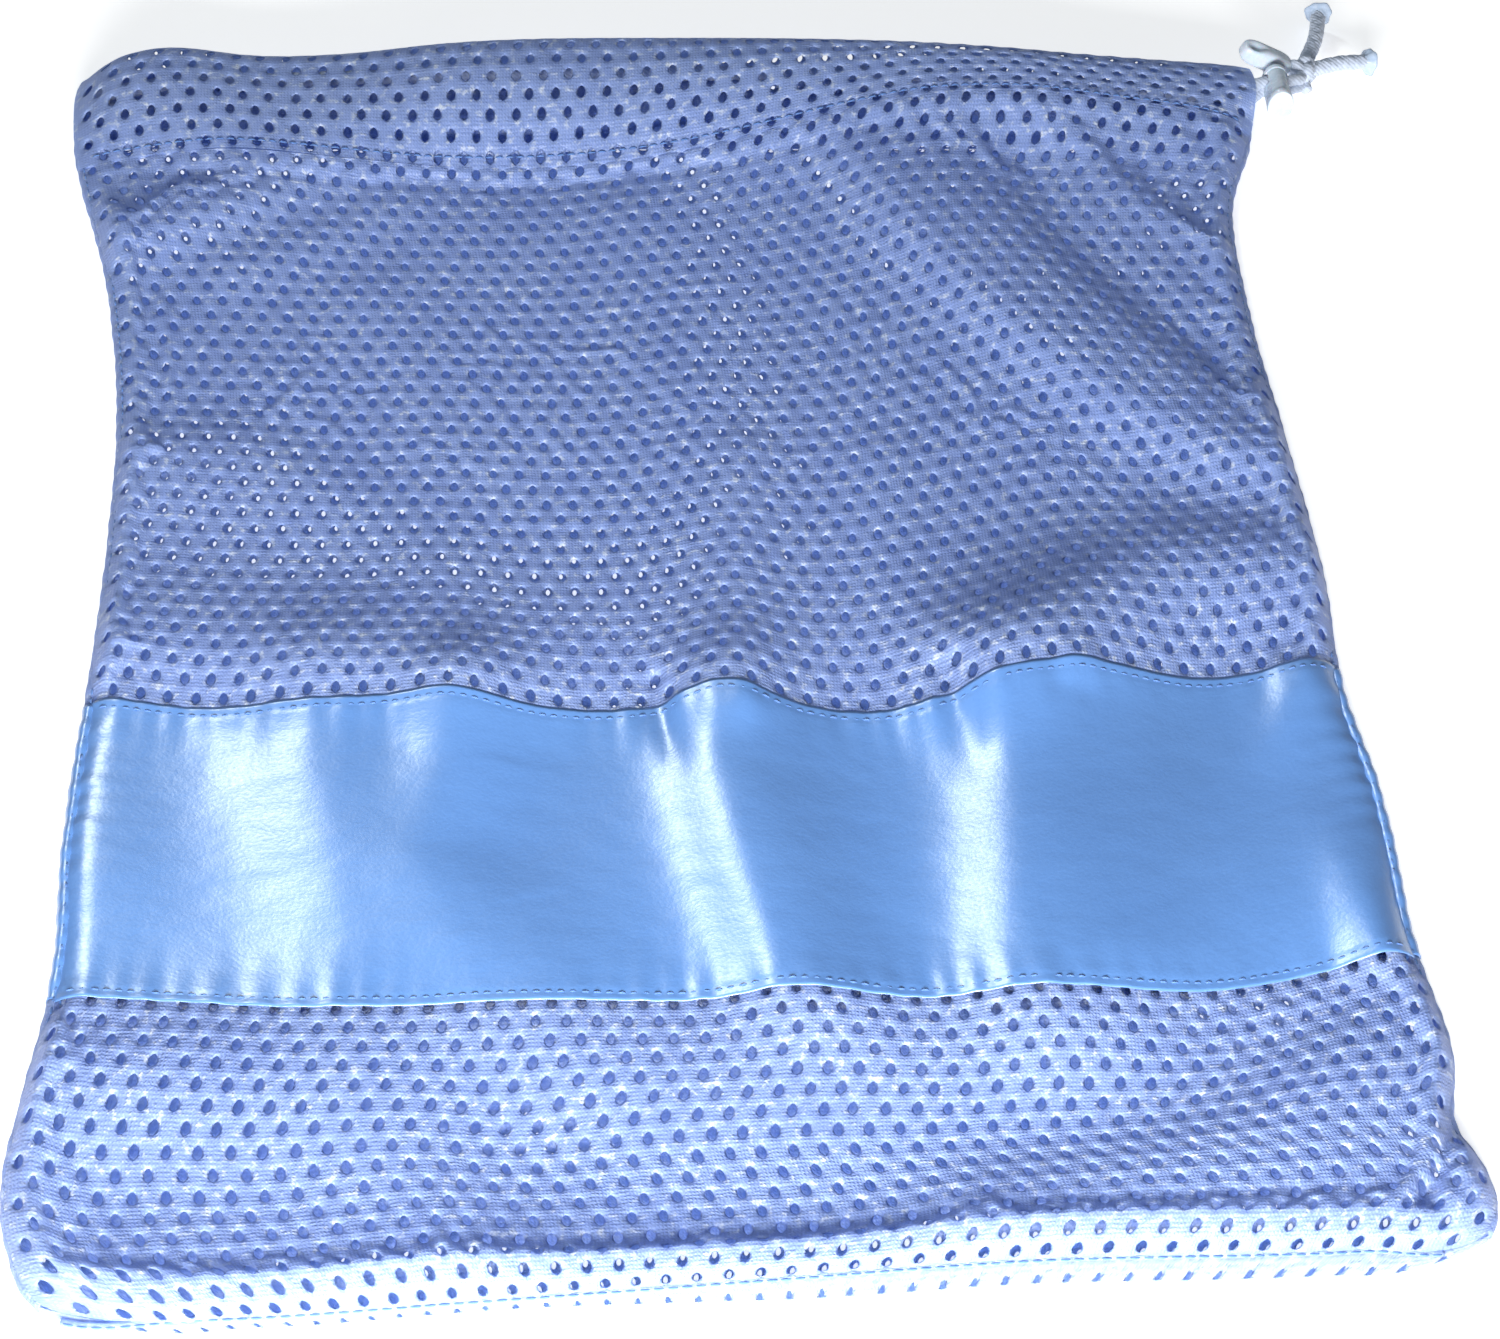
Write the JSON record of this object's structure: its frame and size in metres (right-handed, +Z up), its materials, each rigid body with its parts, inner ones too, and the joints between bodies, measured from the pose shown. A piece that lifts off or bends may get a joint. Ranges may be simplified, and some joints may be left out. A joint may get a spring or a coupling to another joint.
{
  "type": "mesh laundry bag",
  "caption": "Flat drawstring laundry bag in open mesh with a satin band across it, a hem with a drawcord, and a push-button cord lock and knot at one corner.",
  "frame": {"origin": "centre of the back satin band's underside, on the floor the bag lies on", "axes": "+X across the bag towards the cord lock, +Y from the closed bottom towards the mouth, +Z up from the floor"},
  "size_m": [0.3446, 0.4138, 0.0201],
  "materials": {
    "mesh_cloth": "soft knitted mesh with a slight sheen",
    "satin": "glossy woven satin",
    "thread": "matt sewing thread",
    "cord": "matt braided cord",
    "melted_cord": "cord fibres melted together",
    "lock_plastic": "smooth milky moulded plastic",
    "spring_steel": "bright drawn wire"
  },
  "bodies": {
    "bag": {"upper_mesh_front": "mesh_cloth", "upper_mesh_back": "mesh_cloth", "lower_mesh_front": "mesh_cloth", "lower_mesh_back": "mesh_cloth", "satin_band_front": "satin", "satin_band_back": "satin", "side_seam_left": "mesh_cloth", "side_seam_right": "mesh_cloth", "bottom_seam": "mesh_cloth", "casing_front": "mesh_cloth", "casing_back": "mesh_cloth", "hem_stitching_front": "thread", "hem_stitching_back": "thread", "satin_top_stitching_front": "thread", "satin_top_stitching_back": "thread", "satin_bottom_stitching_front": "thread", "satin_bottom_stitching_back": "thread", "side_stitching_left": "thread", "side_stitching_right": "thread", "bottom_stitching": "thread", "drawcord": "cord"},
    "casing_end": {"casing_end": "mesh_cloth"},
    "cord_pull": {"cord_knot": "cord", "cord_tail_upper": "cord", "cord_tail_right": "cord", "cord_tip_upper": "melted_cord", "cord_tip_right": "melted_cord"},
    "cord_lock": {"cord_lock_barrel": "lock_plastic", "cord_lock_spring": "spring_steel"},
    "lock_button": {"cord_lock_button": "lock_plastic"}
  },
  "joints": [
    {"name": "cord_draw", "type": "slide", "parent": "bag", "child": "cord_pull", "axis": [1, 0, 0], "range_m": [0, 0.09], "deforming": ["drawcord"]},
    {"name": "casing_gather", "type": "slide", "parent": "bag", "child": "casing_end", "axis": [1, 0, 0], "range_m": [0, 0.09]},
    {"name": "lock_slide", "type": "slide", "parent": "cord_pull", "child": "cord_lock", "axis": [1, 0, 0], "range_m": [-0.09, 0]},
    {"name": "button_press", "type": "slide", "parent": "cord_lock", "child": "lock_button", "axis": [0, -1, 0], "range_m": [0, 0.002], "stiffness_N_per_m": 600, "springref_m": -0.001, "deforming": ["cord_lock_spring"]}
  ],
  "couplings": [
    {"joint": "casing_gather", "follows": "cord_draw", "ratio": 1},
    {"joint": "lock_slide", "follows": "cord_draw", "ratio": -1}
  ]
}
